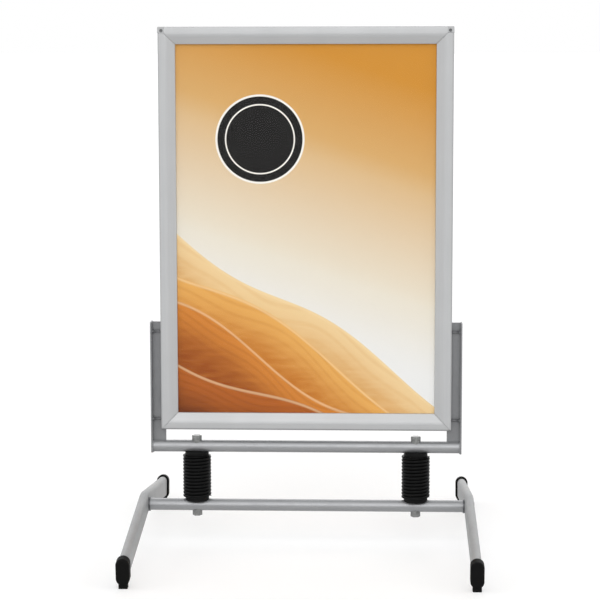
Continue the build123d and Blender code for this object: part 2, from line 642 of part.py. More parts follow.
def leg_path():
    """Centre line of a leg in the YZ plane, with one bend in the middle."""
    end = LEG_LENGTH / 2
    return FilletPolyline(
        (0, -end, LEG_END_HEIGHT),
        (0, 0, LEG_APEX_HEIGHT),
        (0, end, LEG_END_HEIGHT),
        radius=LEG_BEND_RADIUS,
    )


def oval(path, growth):
    """Flat-oval section at the start of the leg's path."""
    start = Plane(origin=path @ 0, x_dir=(1, 0, 0), z_dir=path % 0)
    return start * SlotOverall(LEG_HEIGHT + 2 * growth, LEG_WIDTH + 2 * growth, rotation=90)


def make_legs():
    path = leg_path()
    tube = sweep(oval(path, 0), path=path)
    hollow = sweep(oval(path, -LEG_WALL), path=path)
    bolts = []
    for name, side in SIDES.items():
        leg = Pos(side * LEG_SPACING / 2, 0, 0) * (tube - hollow)
        outside = (side * LEG_OUTER, 0, LOWER_BAR_HEIGHT)
        inward = (-side, 0, 0)
        leg -= rod(outside, inward, LEG_BOLT_RADIUS + LEG_BOLT_CLEARANCE, 2 * LEG_WIDTH)
        keep(f"{name}_leg", leg)
        head = rod(outside, (side, 0, 0), LEG_BOLT_HEAD_RADIUS, LEG_BOLT_HEAD_HEIGHT)
        rim = head.edges().sort_by(Axis.X)[0 if side < 0 else -1]
        head = fillet(rim, LEG_BOLT_HEAD_ROUND)
        socket = Plane(origin=(side * (LEG_OUTER + LEG_BOLT_HEAD_HEIGHT), 0, LOWER_BAR_HEIGHT), z_dir=inward)
        head -= extrude(socket * hexagon(LEG_BOLT_SOCKET_FLATS), amount=LEG_BOLT_SOCKET_DEPTH)
        length = LEG_WIDTH + BAR_PLUG_FLANGE + BAR_PLUG_DEPTH
        bolts.append(head + rod(outside, inward, LEG_BOLT_RADIUS, length))
    keep("leg_bolts", *bolts)


def make_bar_plugs():
    """Flanged, threaded plugs in the ends of the lower crossbar."""
    plugs = []
    for side in SIDES.values():
        start = (side * LEG_INNER, 0, LOWER_BAR_HEIGHT)
        inward = (-side, 0, 0)
        plug = rod(start, inward, BAR_PLUG_FLANGE_RADIUS, BAR_PLUG_FLANGE)
        body = BAR_PLUG_FLANGE + BAR_PLUG_DEPTH
        plug += rod(start, inward, BAR_RADIUS - BAR_WALL - BAR_PLUG_GAP, body)
        plug -= rod(start, inward, LEG_BOLT_RADIUS + LEG_BOLT_CLEARANCE, body)
        plugs.append(plug)
    keep("bar_end_plugs", *plugs)


def make_feet():
    """Rubber end caps: a sleeve on the leg, a closed end and a grooved tread."""
    path = leg_path()
    start = path @ 0
    along = path % 0
    outer = oval(path, FOOT_WALL + FOOT_FIT_GAP)
    sleeve = extrude(outer, amount=FOOT_SLEEVE) + extrude(outer, amount=-FOOT_END_WALL)
    sleeve = fillet(sleeve.faces().sort_by(Axis.Y)[0].edges(), FOOT_ROUND)
    front = start.Y - FOOT_END_WALL + along.Z * LEG_HEIGHT / 2 + TREAD_SETBACK
    middle = front + TREAD_LENGTH / 2
    tread = extrude(RectangleRounded(TREAD_WIDTH, TREAD_LENGTH, TREAD_ROUND), amount=start.Z)
    foot = sleeve + Pos(0, middle, 0) * tread
    foot -= extrude(oval(path, FOOT_FIT_GAP), amount=LEG_LENGTH / 4)
    for k in range(TREAD_GROOVES):
        y = middle + (k - (TREAD_GROOVES - 1) / 2) * TREAD_LENGTH / (TREAD_GROOVES + 1)
        y0, y1 = y - TREAD_GROOVE / 2, y + TREAD_GROOVE / 2
        foot -= block(-LEG_WIDTH, LEG_WIDTH, y0, y1, -PAST, TREAD_GROOVE_DEPTH)
    for name, side in SIDES.items():
        front = Pos(side * LEG_SPACING / 2, 0, 0) * foot
        keep(f"front_{name}_foot", front)
        keep(f"rear_{name}_foot", mirror(front, Plane.XZ))


def main():
    make_frame_rails()
    make_leaf_springs()
    make_sheets()
    make_corner_keys()
    make_corner_caps()
    make_rivets()
    make_uprights()
    make_crossbars()
    make_springs()
    make_plugs()
    make_legs()
    make_bar_plugs()
    make_feet()
    os.makedirs("parts", exist_ok=True)
    for name, shape in NODES.items():
        export_step(shape, f"parts/{name}.step")
    print(len(NODES), "nodes")


main()
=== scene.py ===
import bpy
import bmesh
import json
import math
from mathutils import Matrix, Vector

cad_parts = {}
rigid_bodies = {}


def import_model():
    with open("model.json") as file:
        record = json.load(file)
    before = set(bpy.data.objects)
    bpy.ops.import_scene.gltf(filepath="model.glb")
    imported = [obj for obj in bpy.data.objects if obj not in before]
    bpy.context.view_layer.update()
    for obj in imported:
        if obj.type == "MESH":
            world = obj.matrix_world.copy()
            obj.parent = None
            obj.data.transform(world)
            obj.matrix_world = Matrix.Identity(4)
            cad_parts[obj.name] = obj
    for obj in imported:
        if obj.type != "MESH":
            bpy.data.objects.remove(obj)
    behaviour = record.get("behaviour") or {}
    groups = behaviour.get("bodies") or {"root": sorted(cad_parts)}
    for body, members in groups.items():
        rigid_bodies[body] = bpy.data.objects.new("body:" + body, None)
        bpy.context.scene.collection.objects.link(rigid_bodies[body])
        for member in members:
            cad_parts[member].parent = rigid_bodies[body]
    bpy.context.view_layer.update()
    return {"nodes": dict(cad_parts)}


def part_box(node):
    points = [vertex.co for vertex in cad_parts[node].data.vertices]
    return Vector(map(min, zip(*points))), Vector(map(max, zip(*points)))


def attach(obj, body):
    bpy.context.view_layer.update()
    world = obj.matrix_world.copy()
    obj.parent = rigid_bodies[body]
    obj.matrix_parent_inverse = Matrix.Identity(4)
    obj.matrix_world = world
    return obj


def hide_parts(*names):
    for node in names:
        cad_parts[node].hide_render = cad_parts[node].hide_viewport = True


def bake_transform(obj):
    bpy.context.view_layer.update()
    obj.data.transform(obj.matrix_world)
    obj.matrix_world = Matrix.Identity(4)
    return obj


for start_object in list(bpy.data.objects):
    bpy.data.objects.remove(start_object)
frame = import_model()
scene = bpy.context.scene
nodes = frame["nodes"]


# Camera, fitted to the photograph. Its pixels are those of a 600 x 600 image.

IMAGE_PX = 600
FOCAL_PX = 1957.5
SENSOR_MM = 36
CAMERA_AT = (0.1566, -4.3203, 1.1299)
YAW = math.radians(2.250)
PITCH = math.radians(6.723)
ROLL = math.radians(-0.094)
SHIFT_Y = -0.05
CLIP_NEAR = 0.1
CLIP_FAR = 500

camera_data = bpy.data.cameras.new("camera")
camera = bpy.data.objects.new("camera", camera_data)
scene.collection.objects.link(camera)
camera_data.sensor_width = SENSOR_MM
camera_data.lens = FOCAL_PX * SENSOR_MM / IMAGE_PX
camera_data.shift_y = SHIFT_Y
camera_data.clip_start = CLIP_NEAR
camera_data.clip_end = CLIP_FAR
turn = Matrix.Rotation(YAW, 4, "Z") @ Matrix.Rotation(math.pi / 2 - PITCH, 4, "X")
camera.matrix_world = Matrix.Translation(CAMERA_AT) @ turn @ Matrix.Rotation(ROLL, 4, "Z")
scene.camera = camera
scene.view_settings.view_transform = "Standard"


# The frame's edges, which rails and their finish are measured from

FRAME_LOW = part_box("front_base_bottom")[0]
FRAME_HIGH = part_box("front_base_top")[1]
FRAME_HALF = (FRAME_HIGH - FRAME_LOW) / 2


# Node trees: a few small tools for building them

class Tree:
    """The node tree of a material or of the world, with short calls for the nodes that are used most."""

    def __init__(self, owner, shader="Principled BSDF"):
        self.owner = owner
        owner.use_nodes = True
        self.tree = owner.node_tree
        self.shader = self.tree.nodes[shader]

    def node(self, kind, **settings):
        made = self.tree.nodes.new(kind)
        for key, value in settings.items():
            setattr(made, key, value)
        return made

    def link(self, value, socket):
        """Puts a number, a colour or another node's output into a socket."""
        if isinstance(value, bpy.types.NodeSocket):
            self.tree.links.new(value, socket)
        else:
            socket.default_value = value

    def set(self, **values):
        """Fills sockets of the shader. An underscore stands for a space in a socket's name."""
        for key, value in values.items():
            self.link(value, self.shader.inputs[key.replace("_", " ")])

    def math(self, operation, *values):
        made = self.node("ShaderNodeMath", operation=operation)
        for socket, value in zip(made.inputs, values):
            self.link(value, socket)
        return made.outputs[0]

    def mix(self, factor, a, b):
        """Colour a where the factor is 0, colour b where it is 1."""
        made = self.node("ShaderNodeMix", data_type="RGBA")
        self.link(factor, made.inputs["Factor"])
        self.link(a, made.inputs["A"])
        self.link(b, made.inputs["B"])
        return made.outputs["Result"]

    def position(self, scale=(1, 1, 1)):
        """The piece's own coordinates in metres, stretched."""
        place = self.node("ShaderNodeTexCoord").outputs["Object"]
        made = self.node("ShaderNodeMapping")
        self.link(place, made.inputs["Vector"])
        made.inputs["Scale"].default_value = scale
        return made.outputs["Vector"]

    def axes(self):
        """The piece's own coordinates in metres, one by one."""
        place = self.node("ShaderNodeTexCoord").outputs["Object"]
        made = self.node("ShaderNodeSeparateXYZ")
        self.link(place, made.inputs[0])
        return made.outputs

    def noise(self, vector, scale, detail=2.0, roughness=0.5):
        made = self.node("ShaderNodeTexNoise")
        self.link(vector, made.inputs["Vector"])
        made.inputs["Scale"].default_value = scale
        made.inputs["Detail"].default_value = detail
        made.inputs["Roughness"].default_value = roughness
        return made.outputs["Fac"]

    def remap(self, value, low, high, to_low, to_high, smooth=False):
        """Carries the range from low to high over to the one from to_low to to_high, and stays in it."""
        made = self.node("ShaderNodeMapRange", interpolation_type="SMOOTHSTEP" if smooth else "LINEAR")
        self.link(value, made.inputs["Value"])
        for name, number in (("From Min", low), ("From Max", high), ("To Min", to_low), ("To Max", to_high)):
            self.link(number, made.inputs[name])
        return made.outputs["Result"]

    def bump(self, height, distance, strength):
        """Relief that only the light shows, its depth in metres."""
        made = self.node("ShaderNodeBump")
        self.link(height, made.inputs["Height"])
        made.inputs["Distance"].default_value = distance
        made.inputs["Strength"].default_value = strength
        return made.outputs["Normal"]

    def seen(self):
        """1 where the surface is seen, straight, mirrored or through glass, and 0 where it only lights."""
        path = self.node("ShaderNodeLightPath").outputs
        either = self.math("MAXIMUM", path["Is Camera Ray"], path["Is Glossy Ray"])
        return self.math("MAXIMUM", either, path["Is Transmission Ray"])


def material_tree(name):
    """The node tree of a new material."""
    return Tree(bpy.data.materials.new(name))


def linear(value):
    """A 0 to 255 display value as linear light, by the sRGB curve."""
    share = value / 255
    return share / 12.92 if share <= 0.04045 else ((share + 0.055) / 1.055) ** 2.4


def colour(tone, step=0):
    """A colour from three 0 to 255 display values, each a step lighter or darker."""
    return tuple(linear(value + step) for value in tone) + (1,)


# Metals and paints. Lengths are in metres and tones are 0 to 255 display values.

RAIL_TONE = (184, 185, 186)
# How fine the extrusion lines are, along a rail and across it
LINES_ALONG = 4
LINES_ACROSS = 900

# The rails are painted darker at the frame's sides and foot, as painted shade: where that starts, where it
# is full, how far it goes
PAINTED_SHADE_FROM_SIDE = 0.005
PAINTED_SHADE_FROM_FOOT = 0.006
PAINTED_SHADE_FULL = 0.001
PAINTED_SHADE_SIDE_SHARE = 0.35
PAINTED_SHADE_FOOT_SHARE = 0.85
PAINTED_SHADE_TONE = tuple(value * 0.6 for value in RAIL_TONE)

FLAKE_SIZE = 0.0004


def anodised(name, along):
    """Satin anodised aluminium with fine extrusion lines along one axis, with painted shade at the outer
    edges.
    """
    t = material_tree(name)
    stretch = tuple(LINES_ALONG if axis == along else LINES_ACROSS for axis in "XYZ")
    lines = t.noise(t.position(stretch), scale=1.0, detail=3.0, roughness=0.65)
    cloud = t.noise(t.position(), scale=9.0, detail=3.0)
    tint = t.mix(t.remap(lines, 0.3, 0.7, 0.0, 1.0), colour(RAIL_TONE, -7), colour(RAIL_TONE))
    tint = t.mix(t.remap(cloud, 0.35, 0.7, 0.0, 0.3), tint, colour(RAIL_TONE, -12))
    # Painted shade: darker near the frame's side edges and along its lower edge
    x, _, z = t.axes()
    side = t.remap(
        t.math("ABSOLUTE", x), FRAME_HALF.x - PAINTED_SHADE_FROM_SIDE, FRAME_HALF.x - PAINTED_SHADE_FULL,
        0.0, PAINTED_SHADE_SIDE_SHARE, smooth=True,
    )
    foot = t.remap(
        z, FRAME_LOW.z + PAINTED_SHADE_FULL, FRAME_LOW.z + PAINTED_SHADE_FROM_FOOT,
        PAINTED_SHADE_FOOT_SHARE, 0.0, smooth=True,
    )
    tint = t.mix(t.math("MAXIMUM", side, foot), tint, colour(PAINTED_SHADE_TONE))
    rough = t.math("ADD", t.remap(lines, 0.25, 0.75, -0.035, 0.035), t.remap(cloud, 0.3, 0.7, 0.44, 0.50))
    t.set(Base_Color=tint, Roughness=rough, Normal=t.bump(lines, 0.00002, 0.5))
    t.set(Metallic=0.35, Anisotropic=0.25)
    return t.owner


def powder_coat(name, tone, metallic, roughness):
    """Silver powder coat: a faint orange peel, fine metal flake and light handling marks."""
    t = material_tree(name)
    peel = t.noise(t.position(), scale=700.0)
    flake = t.node("ShaderNodeTexVoronoi")
    t.link(t.position(), flake.inputs["Vector"])
    flake.inputs["Scale"].default_value = 1 / FLAKE_SIZE
    cloud = t.noise(t.position(), scale=14.0, detail=4.0, roughness=0.6)
    marks = t.noise(t.position((60, 60, 60)), scale=1.0, detail=6.0, roughness=0.72)
    tint = t.mix(t.remap(flake.outputs["Color"], 0.1, 0.9, 0.0, 1.0), colour(tone, -9), colour(tone, 7))
    tint = t.mix(t.remap(cloud, 0.4, 0.7, 0.0, 0.3), tint, colour(tone, -18))
    rough = t.math("ADD", t.remap(marks, 0.45, 0.7, -0.05, 0.08), roughness)
    t.set(Base_Color=tint, Roughness=rough, Normal=t.bump(peel, 0.00006, 0.55))
    t.set(Metallic=metallic)
    return t.owner


def zinc(name, tone, roughness):
    """Zinc plate on steel, a little mottled."""
    t = material_tree(name)
    mottle = t.noise(t.position(), scale=260.0, detail=4.0, roughness=0.6)
    fine = t.noise(t.position(), scale=1800.0)
    tint = t.mix(t.remap(mottle, 0.35, 0.65, 0.0, 1.0), colour(tone, -26), colour(tone))
    rough = t.remap(mottle, 0.3, 0.7, roughness - 0.08, roughness + 0.12)
    t.set(Base_Color=tint, Roughness=rough, Normal=t.bump(fine, 0.00003, 0.5))
    t.set(Metallic=0.9)
    return t.owner


# Coatings, plastics and board

WIRE_DARK = (3, 3, 3)
WIRE_RUBBED = (10, 10, 11)
DULL_SHINE = 0.10
DUST_STEP = 9
BOARD_DARK = (214, 213, 208)
BOARD_LIGHT = (232, 231, 227)


def black_coat(name):
    """Black powder coat on spring wire, rubbed a little lighter in places."""
    t = material_tree(name)
    peel = t.noise(t.position(), scale=900.0)
    rub = t.noise(t.position((40, 40, 90)), scale=1.0, detail=5.0, roughness=0.65)
    tint = t.mix(t.remap(rub, 0.5, 0.75, 0.0, 1.0), colour(WIRE_DARK), colour(WIRE_RUBBED))
    t.set(Base_Color=tint, Roughness=t.remap(rub, 0.3, 0.75, 0.36, 0.55), Normal=t.bump(peel, 0.00005, 0.6))
    t.set(Specular_IOR_Level=DULL_SHINE)
    return t.owner


def moulded(name, tone, roughness, grain):
    """Moulded plastic or rubber with a fine matt grain and a little dust."""
    t = material_tree(name)
    skin = t.noise(t.position(), scale=grain, detail=3.0, roughness=0.6)
    dust = t.noise(t.position(), scale=35.0, detail=5.0, roughness=0.7)
    tint = t.mix(t.remap(dust, 0.5, 0.8, 0.0, 0.6), colour(tone), colour(tone, DUST_STEP))
    rough = t.remap(skin, 0.3, 0.7, roughness - 0.06, roughness + 0.08)
    t.set(Base_Color=tint, Roughness=rough, Normal=t.bump(skin, 0.00008, 0.5))
    t.set(Specular_IOR_Level=DULL_SHINE)
    return t.owner


# The printed poster. A place on it is u across from its middle and v up from its foot, as shares of its
# width and its height.

SKY_PALE = (240, 240, 238)
SKY_CREAM = (236, 227, 208)
SKY_HONEY = (221, 179, 118)
SKY_AMBER = (210, 144, 50)
SKY_TILT = 0.24

# The hills, from the furthest to the nearest
HILLS = (
    dict(base=0.275, tilt=0.46, swing=0.026, waves=7.4, shift=0.7, furrows=160,
         dark=(220, 164, 96), light=(242, 210, 156)),
    dict(base=0.185, tilt=0.44, swing=0.034, waves=6.4, shift=2.4, furrows=210,
         dark=(196, 118, 40), light=(234, 174, 92)),
    dict(base=0.095, tilt=0.40, swing=0.032, waves=7.6, shift=4.5, furrows=260,
         dark=(150, 74, 20), light=(214, 134, 54)),
    dict(base=0.005, tilt=0.34, swing=0.030, waves=6.6, shift=1.2, furrows=320,
         dark=(98, 42, 12), light=(182, 98, 34)),
)
FURROW_WAVES = 2.3
FURROW_SWING = 0.012
LIT_DEPTH = 0.15
CREST_EDGE = 0.0006
GLOW_TONE = (250, 226, 180)
GLOW_DEPTH = 0.004
GLOW_REACH = 0.006

# The disc: its middle, and its radii as shares of the poster's width
DISC_U = -0.17
DISC_V = 0.74
DISC_RADIUS = 0.166
INK_RADIUS = 0.1585
DISC_EDGE = 0.0005
RING_RADIUS = 0.128
RING_HALF = 0.0026
RING_EDGE = 0.0004
INK = (12, 11, 10)
PAPER = (250, 246, 238)


def hill(t, u, v, below, base, tilt, swing, waves, shift, furrows, dark, light):
    """A rolling hill over what lies below: lit along its crest, darker lower down, with faint furrows."""
    wave = t.math("SINE", t.math("ADD", t.math("MULTIPLY", u, waves), shift))
    crest = t.math("ADD", t.math("MULTIPLY", wave, swing), t.math("ADD", t.math("MULTIPLY", u, -tilt), base))
    depth = t.math("SUBTRACT", crest, v)
    bend = t.math("SINE", t.math("ADD", t.math("MULTIPLY", u, FURROW_WAVES * waves), shift))
    bend = t.math("MULTIPLY", bend, FURROW_SWING)
    row = t.math("SINE", t.math("MULTIPLY", t.math("ADD", depth, bend), furrows))
    grain = t.noise(t.position((14, 1, 90)), scale=1.0, detail=5.0, roughness=0.62)
    tint = t.mix(t.remap(depth, 0.0, LIT_DEPTH, 0.0, 1.0, smooth=True), colour(light), colour(dark))
    tint = t.mix(t.remap(row, 0.2, 1.0, 0.0, 0.22), tint, colour(dark))
    tint = t.mix(t.remap(grain, 0.42, 0.72, 0.0, 0.4), tint, colour(light))
    from_glow = t.math("ABSOLUTE", t.math("SUBTRACT", depth, GLOW_DEPTH))
    tint = t.mix(t.remap(from_glow, 0.0, GLOW_REACH, 0.5, 0.0), tint, colour(GLOW_TONE))
    return t.mix(t.remap(depth, -CREST_EDGE, CREST_EDGE, 0.0, 1.0), below, tint)


def poster(name, facing):
    """A generic printed poster: a warm sky over rolling hills, with a dark disc that has a pale ring."""
    t = material_tree(name)
    low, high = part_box("front_poster")
    size = high - low
    middle = (low + high) / 2
    x, _, z = t.axes()
    u = t.math("MULTIPLY", t.math("SUBTRACT", x, middle.x), facing / size.x)
    v = t.math("DIVIDE", t.math("SUBTRACT", z, low.z), size.z)

    rise = t.math("ADD", v, t.math("MULTIPLY", u, SKY_TILT))
    art = t.mix(t.remap(rise, 0.18, 0.46, 0.0, 1.0, smooth=True), colour(SKY_PALE), colour(SKY_CREAM))
    art = t.mix(t.remap(rise, 0.40, 0.76, 0.0, 1.0), art, colour(SKY_HONEY))
    art = t.mix(t.remap(rise, 0.70, 0.98, 0.0, 1.0), art, colour(SKY_AMBER))
    for shape in HILLS:
        art = hill(t, u, v, art, **shape)

    across = t.math("SUBTRACT", u, DISC_U)
    up = t.math("MULTIPLY", t.math("SUBTRACT", v, DISC_V), size.z / size.x)
    reach = t.math("SQRT", t.math("ADD", t.math("POWER", across, 2.0), t.math("POWER", up, 2.0)))
    for radius, tone in ((DISC_RADIUS, PAPER), (INK_RADIUS, INK)):
        inside = t.remap(reach, radius - DISC_EDGE, radius + DISC_EDGE, 1.0, 0.0)
        art = t.mix(inside, art, colour(tone))
    from_ring = t.math("ABSOLUTE", t.math("SUBTRACT", reach, RING_RADIUS))
    ring = t.remap(from_ring, RING_HALF - RING_EDGE, RING_HALF + RING_EDGE, 1.0, 0.0)
    art = t.mix(ring, art, colour(PAPER))

    fibre = t.noise(t.position(), scale=1500.0)
    t.set(Base_Color=art, Roughness=t.remap(fibre, 0.3, 0.7, 0.42, 0.52), Normal=t.bump(fibre, 0.00001, 0.3))
    t.set(Specular_IOR_Level=0.15)
    return t.owner


def cover_sheet(name):
    """Clear matt sheet over the poster: nearly all see-through, with a faint sheen."""
    t = material_tree(name)
    skin = t.noise(t.position(), scale=1400.0)
    t.set(Base_Color=(0.3, 0.3, 0.3, 1), Roughness=t.remap(skin, 0.3, 0.7, 0.24, 0.34))
    t.set(Alpha=0.012, Specular_IOR_Level=0.5)
    t.owner.blend_method = "BLEND"
    return t.owner


def board(name):
    """White rigid foam board with a faintly pebbled skin."""
    t = material_tree(name)
    skin = t.noise(t.position(), scale=500.0, detail=3.0)
    t.set(Base_Color=t.mix(skin, colour(BOARD_DARK), colour(BOARD_LIGHT)), Roughness=0.6)
    t.set(Normal=t.bump(skin, 0.00005, 0.4))
    return t.owner


# Finishes

rails_across = anodised("rail_across", along="X")
rails_upright = anodised("rail_upright", along="Z")
key_zinc = zinc("key_zinc", (140, 141, 142), roughness=0.5)
leaf_steel = zinc("leaf_steel", (96, 98, 102), roughness=0.3)
# The uprights wear the silver powder coat in a darker tone: the lower tone is painted shade
upright_paint = powder_coat("upright_paint", (130, 131, 133), metallic=0.3, roughness=0.5)
bar_paint = powder_coat("bar_paint", (151, 152, 154), metallic=0.4, roughness=0.36)
leg_paint = powder_coat("leg_paint", (156, 157, 158), metallic=0.13, roughness=0.58)
fastener = zinc("fastener", (136, 137, 136), roughness=0.34)
dark_fastener = zinc("dark_fastener", (118, 119, 120), roughness=0.4)
# Fasteners on the uprights: a still darker powder coat, painted shade that keeps them as dark as the shaded
# uprights
shaded_upright_fastener = powder_coat("shaded_upright_fastener", (110, 111, 113), metallic=0.2, roughness=0.5)
cap_zinc = powder_coat("cap_zinc", (172, 173, 174), metallic=0.3, roughness=0.46)
plug_metal = zinc("plug_metal", (112, 113, 115), roughness=0.42)
spring_coat = black_coat("spring_coat")
plug_plastic = moulded("plug_plastic", (10, 10, 10), roughness=0.5, grain=800.0)
foot_rubber = moulded("foot_rubber", (7, 7, 7), roughness=0.62, grain=600.0)
clear_cover = cover_sheet("clear_cover")
core_board = board("core_board")
front_print = poster("front_print", facing=1)
back_print = poster("back_print", facing=-1)

FINISH_OF_SLOT = {
    "key_zinc": key_zinc,
    "leaf_steel": leaf_steel,
    "core_board": core_board,
    "clear_cover": clear_cover,
    "upright_paint": upright_paint,
    "bar_paint": bar_paint,
    "leg_paint": leg_paint,
    "zinc_fastener": fastener,
    "plug_metal": plug_metal,
    "black_spring": spring_coat,
    "black_plug": plug_plastic,
    "black_rubber": foot_rubber,
}


def finish_of(node):
    """The material that a CAD node wears."""
    if node.endswith("_poster"):
        return front_print if node.startswith("front") else back_print
    # The upright nuts take the darker coat, which is painted shade
    if node == "upright_nuts":
        return shaded_upright_fastener
    if node.endswith("_corner_caps"):
        return cap_zinc
    if "_base_" in node or "_snap_rail_" in node:
        return rails_across if node.endswith(("top", "bottom")) else rails_upright
    slot = nodes[node].material_slots[0].material.name.split(".")[0]
    return FINISH_OF_SLOT[slot]


for node, thing in nodes.items():
    wears = finish_of(node)
    for place in thing.material_slots:
        place.material = wears


# Pieces: steps that several of them share

def add_piece(name, mesh, material):
    """A piece in one material, which stands for one of the record's slots."""
    thing = bpy.data.objects.new(name, mesh)
    scene.collection.objects.link(thing)
    mesh.materials.clear()
    mesh.materials.append(material)
    return thing


def mesh_of(name, bm):
    """The finished form as a mesh."""
    mesh = bpy.data.meshes.new(name)
    bm.to_mesh(mesh)
    bm.free()
    return mesh


def smooth(mesh):
    for polygon in mesh.polygons:
        polygon.use_smooth = True


def bridge(bm, ring, next_ring):
    """Faces between two rings that have as many points."""
    for k in range(len(ring)):
        n = (k + 1) % len(ring)
        bm.faces.new((ring[k], ring[n], next_ring[n], next_ring[k]))


def loft(bm, rings):
    """A closed solid through rings that have as many points."""
    for ring, next_ring in zip(rings, rings[1:]):
        bridge(bm, ring, next_ring)
    bm.faces.new(list(reversed(rings[0])))
    bm.faces.new(rings[-1])


# Snap rails: copies of the CAD's, with a soft bend between band and slope and closer mitres.
# A point of the face has an inset from the frame's edge and a height above the frame's middle plane.

RAIL_EDGE = (0.003, 0.01677)
RAIL_BEND = (0.015, 0.0176)
RAIL_LIP = (0.038, 0.0092)
BEND_AT = 0.0172
BEND_HALF = 0.0052
BEND_CUTS = 8
FACE_SKIN = 0.0004
NEAR = 0.00002
SAME_POINT = 0.000001
FLAT_ANGLE = math.radians(0.3)
SHARP_ANGLE = math.radians(24)
MITRE_SETBACK = 0.0003 * math.sqrt(2)
MITRE_CLOSE = 0.00036
MITRE_FROM = 0.009


def height_between(inset, a, b):
    """The height at an inset, on the straight line through two points."""
    return a[1] + (b[1] - a[1]) * (inset - a[0]) / (b[0] - a[0])


def face_height(inset):
    """The height of the CAD rail's face, with its sharp bend."""
    if inset < RAIL_BEND[0]:
        return height_between(inset, RAIL_EDGE, RAIL_BEND)
    return height_between(inset, RAIL_BEND, RAIL_LIP)


def soft_height(inset):
    """The same with the bend as a smooth curve round a corner that lies a little further in."""
    t = (inset - BEND_AT + BEND_HALF) / (2 * BEND_HALF)
    corner = height_between(BEND_AT, RAIL_EDGE, RAIL_BEND)
    start = height_between(BEND_AT - BEND_HALF, RAIL_EDGE, RAIL_BEND)
    end = height_between(BEND_AT + BEND_HALF, (BEND_AT, corner), RAIL_LIP)
    return (1 - t) ** 2 * start + 2 * t * (1 - t) * corner + t ** 2 * end


def softened_rail(node, edge):
    """A copy of a CAD rail with its face bent softly and its mitred ends a little longer."""
    low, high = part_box(node)
    along = 0 if edge in ("top", "bottom") else 2
    across = 2 - along
    far_side = edge in ("top", "right")
    start = high[across] if far_side else low[across]
    inward = -1 if far_side else 1
    middle = (low[along] + high[along]) / 2
    half_length = FRAME_HALF[along]
    axis = Vector([1.0 if k == across else 0.0 for k in range(3)])

    bm = bmesh.new()
    bm.from_mesh(nodes[node].data)
    bmesh.ops.remove_doubles(bm, verts=bm.verts, dist=SAME_POINT)
    bmesh.ops.dissolve_limit(bm, angle_limit=FLAT_ANGLE, verts=bm.verts, edges=bm.edges)
    for k in range(BEND_CUTS + 1):
        inset = BEND_AT - BEND_HALF + 2 * BEND_HALF * k / BEND_CUTS
        geometry = bm.verts[:] + bm.edges[:] + bm.faces[:]
        bmesh.ops.bisect_plane(bm, geom=geometry, plane_co=axis * (start + inward * inset), plane_no=axis)
    for vert in bm.verts:
        inset = abs(vert.co[across] - start)
        height = abs(vert.co.y)
        past = vert.co[along] - middle
        if inset > MITRE_FROM and abs(half_length - MITRE_SETBACK - inset - abs(past)) < NEAR:
            vert.co[along] += math.copysign(MITRE_CLOSE, past)
        if abs(inset - BEND_AT) < BEND_HALF + NEAR and abs(face_height(inset) - height) < FACE_SKIN:
            vert.co.y = math.copysign(soft_height(inset), vert.co.y)

    mesh = mesh_of(node + "_soft", bm)
    smooth(mesh)
    mesh.set_sharp_from_angle(angle=SHARP_ANGLE)
    return mesh


for face in ("front", "back"):
    for edge in ("top", "bottom", "left", "right"):
        node = f"{face}_snap_rail_{edge}"
        rail = add_piece(node + "_soft", softened_rail(node, edge), finish_of(node))
        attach(rail, f"{face}_{edge}_rail")
        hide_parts(node)


# Clear sheets: a hair thinner than the CAD's, so that sheet and print don't share a face

SHEET_CLEAR = 0.00015
SAME_FACE = 0.00001

for face in ("front", "back"):
    node = face + "_clear_sheet"
    low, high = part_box(node)
    inner = high.y if face == "front" else low.y
    mesh = nodes[node].data.copy()
    for vert in mesh.vertices:
        if abs(vert.co.y - inner) < SAME_FACE:
            vert.co.y += math.copysign(SHEET_CLEAR, vert.co.y)
    sheet = add_piece(face + "_cover", mesh, clear_cover)
    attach(sheet, "sign")
    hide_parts(node)


# Springs: smooth round wire in place of the CAD's stepped coils

WIRE_RADIUS = 0.0037
WIRE_SIDES = 14
COIL_RADIUS = 0.02805
COIL_PITCH = 0.0076
COIL_TURNS = 13
COIL_STEPS = 64


def spring_mesh(name, low, high):
    """A close-wound coil with ends ground level, inside the CAD spring's box."""
    centre = (low + high) / 2
    half = (high.z - low.z) / 2
    bm = bmesh.new()
    rings = []
    for k in range(COIL_TURNS * COIL_STEPS + 1):
        angle = 2 * math.pi * k / COIL_STEPS
        rise = COIL_PITCH * (k / COIL_STEPS - COIL_TURNS / 2)
        out = Vector((math.cos(angle), math.sin(angle), 0))
        ring = []
        for s in range(WIRE_SIDES):
            a = 2 * math.pi * s / WIRE_SIDES
            point = out * (COIL_RADIUS + WIRE_RADIUS * math.cos(a))
            point.z = max(-half, min(half, rise + WIRE_RADIUS * math.sin(a)))
            ring.append(bm.verts.new(point + centre))
        rings.append(ring)
    loft(bm, rings)
    bmesh.ops.recalc_face_normals(bm, faces=bm.faces)
    mesh = mesh_of(name, bm)
    smooth(mesh)
    return mesh


for side in ("left", "right"):
    low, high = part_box(side + "_spring")
    coil = add_piece(side + "_coil", spring_mesh(side + "_coil", low, high), spring_coat)
    x = (low.x + high.x) / 2
    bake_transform(coil)
    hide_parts(side + "_spring")


# Fasteners: recessed and hexagon heads, in place of the CAD's plain ones

ROUND_SIDES = 40
EASED_STEPS = 3
TIP_SHARE = 0.8


def ring_points(radius, count):
    """Points of a regular polygon or a fine circle."""
    angles = [2 * math.pi * k / count for k in range(count)]
    return [(radius * math.cos(a), radius * math.sin(a)) for a in angles]


def cross_points(reach, arm):
    """Outline of a cross recess: four arms, slightly narrower at their tips."""
    tip = arm * TIP_SHARE
    quarter = [(reach, -tip), (reach, tip), (arm, arm)]
    points = []
    for k in range(4):
        c, s = round(math.cos(k * math.pi / 2)), round(math.sin(k * math.pi / 2))
        points += [(c * x - s * y, s * x + c * y) for x, y in quarter]
    return points


